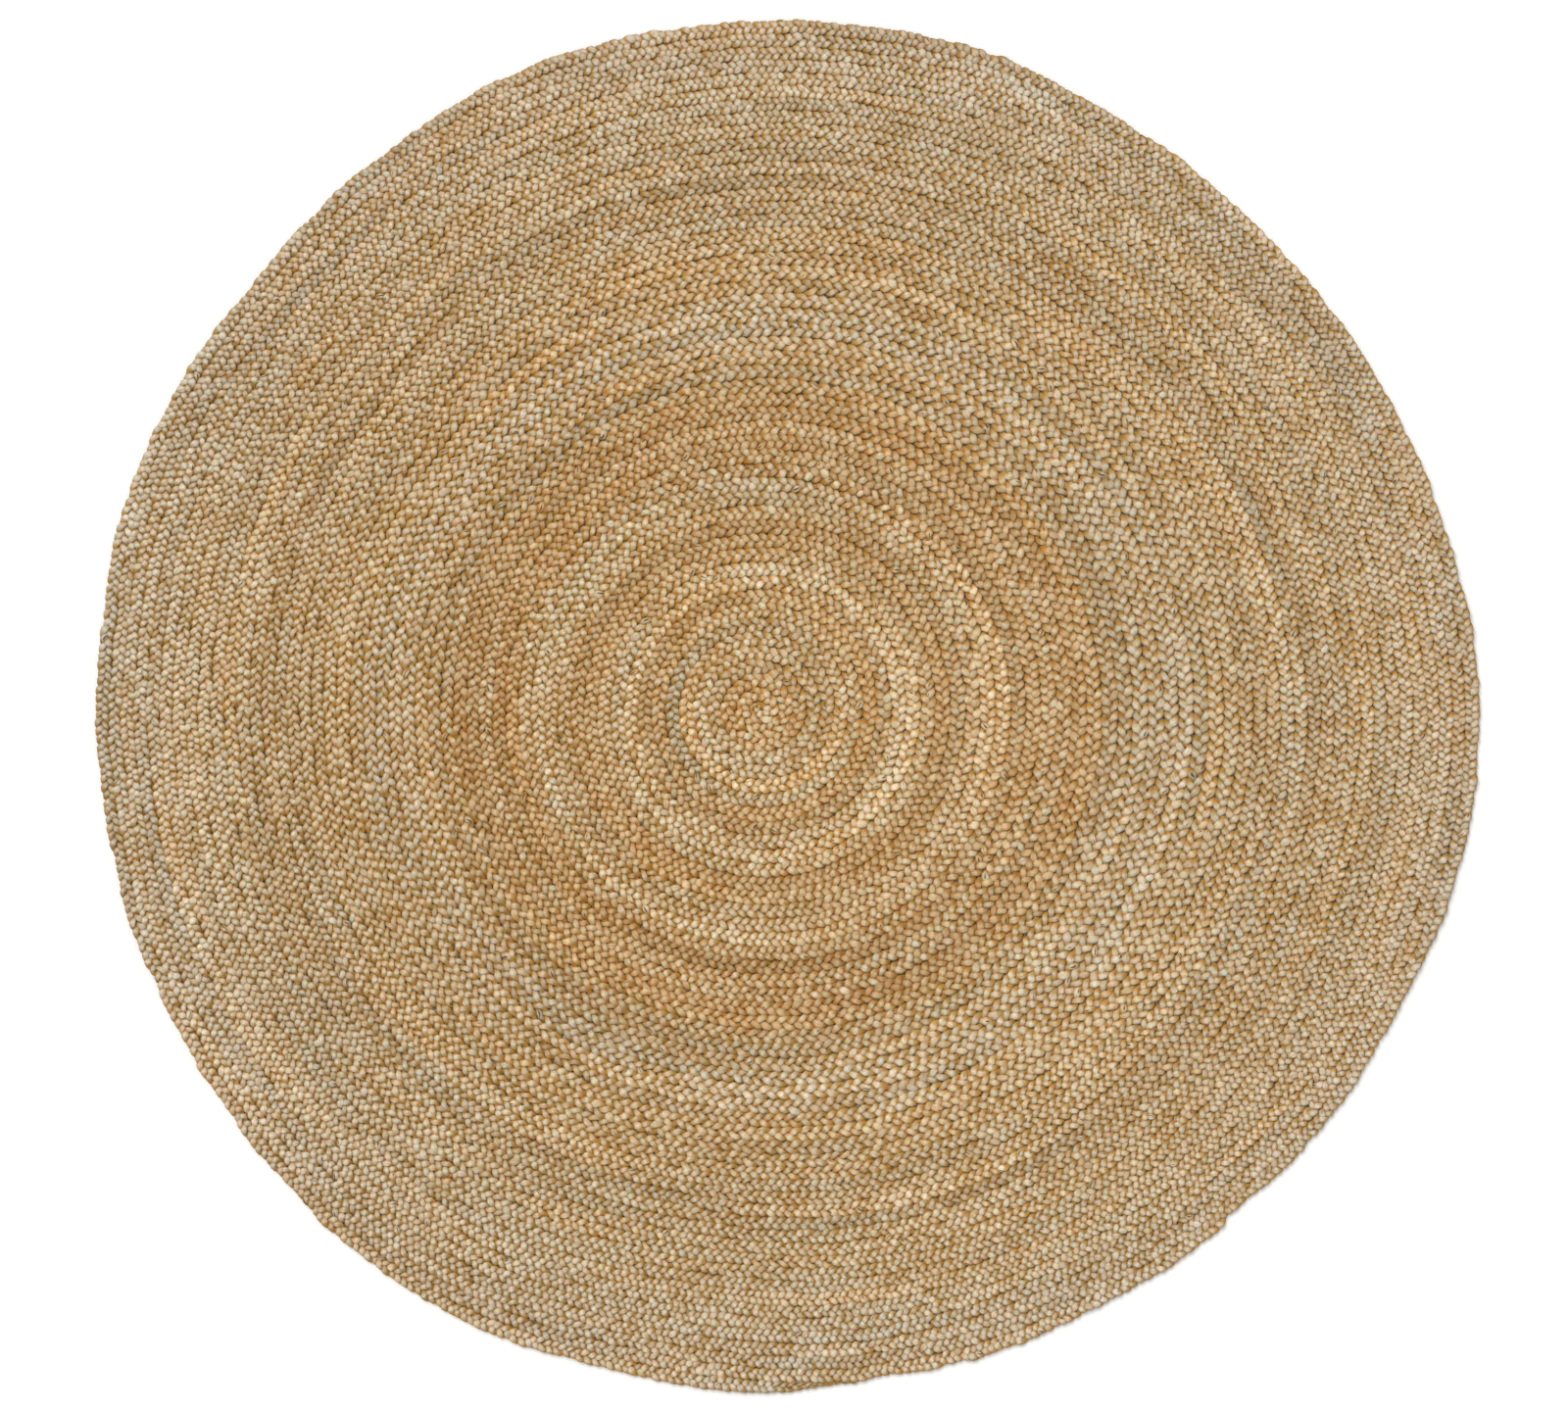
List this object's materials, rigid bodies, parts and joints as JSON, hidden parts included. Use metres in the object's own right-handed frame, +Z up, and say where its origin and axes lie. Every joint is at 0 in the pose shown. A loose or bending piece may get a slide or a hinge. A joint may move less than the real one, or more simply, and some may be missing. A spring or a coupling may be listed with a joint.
{
  "type": "round plaited jute area rug",
  "caption": "Round flat area rug of plaited jute, wound in a spiral from its eye and sewn edge to edge, with a gently wavy rim and a thinned tail.",
  "frame": {"origin": "on the floor, under the middle of the rug's bounding box", "axes": "+Z up from the floor through the rug's thickness; +X to the right and +Y away as the rug is seen from above with its tail nearest the viewer"},
  "size_m": [1.8396, 1.8416, 0.009],
  "materials": {
    "jute_pale": "matt, with the soft sheen of jute fibre",
    "jute_straw": "matt, with the soft sheen of jute fibre",
    "jute_gold": "matt, with the soft sheen of jute fibre",
    "jute_honey": "matt, with the soft sheen of jute fibre",
    "jute_ash": "matt, with the soft sheen of jute fibre",
    "sewing_thread": "matt twisted thread"
  },
  "bodies": {
    "root": {"plait_length_01": "jute_straw", "plait_length_02": "jute_gold", "plait_length_03": "jute_pale", "plait_length_04": "jute_honey", "plait_length_05": "jute_pale", "plait_length_06": "jute_gold", "plait_length_07": "jute_straw", "plait_length_08": "jute_gold", "plait_length_09": "jute_straw", "plait_length_10": "jute_honey", "plait_length_11": "jute_gold", "plait_length_12": "jute_straw", "plait_length_13": "jute_pale", "plait_length_14": "jute_straw", "plait_length_15": "jute_gold", "plait_length_16": "jute_straw", "plait_length_17": "jute_ash", "plait_length_18": "jute_straw", "plait_length_19": "jute_ash", "plait_length_20": "jute_ash", "tail": "jute_ash", "sewing_thread_01": "sewing_thread", "sewing_thread_02": "sewing_thread", "sewing_thread_03": "sewing_thread", "sewing_thread_04": "sewing_thread"}
  },
  "joints": []
}
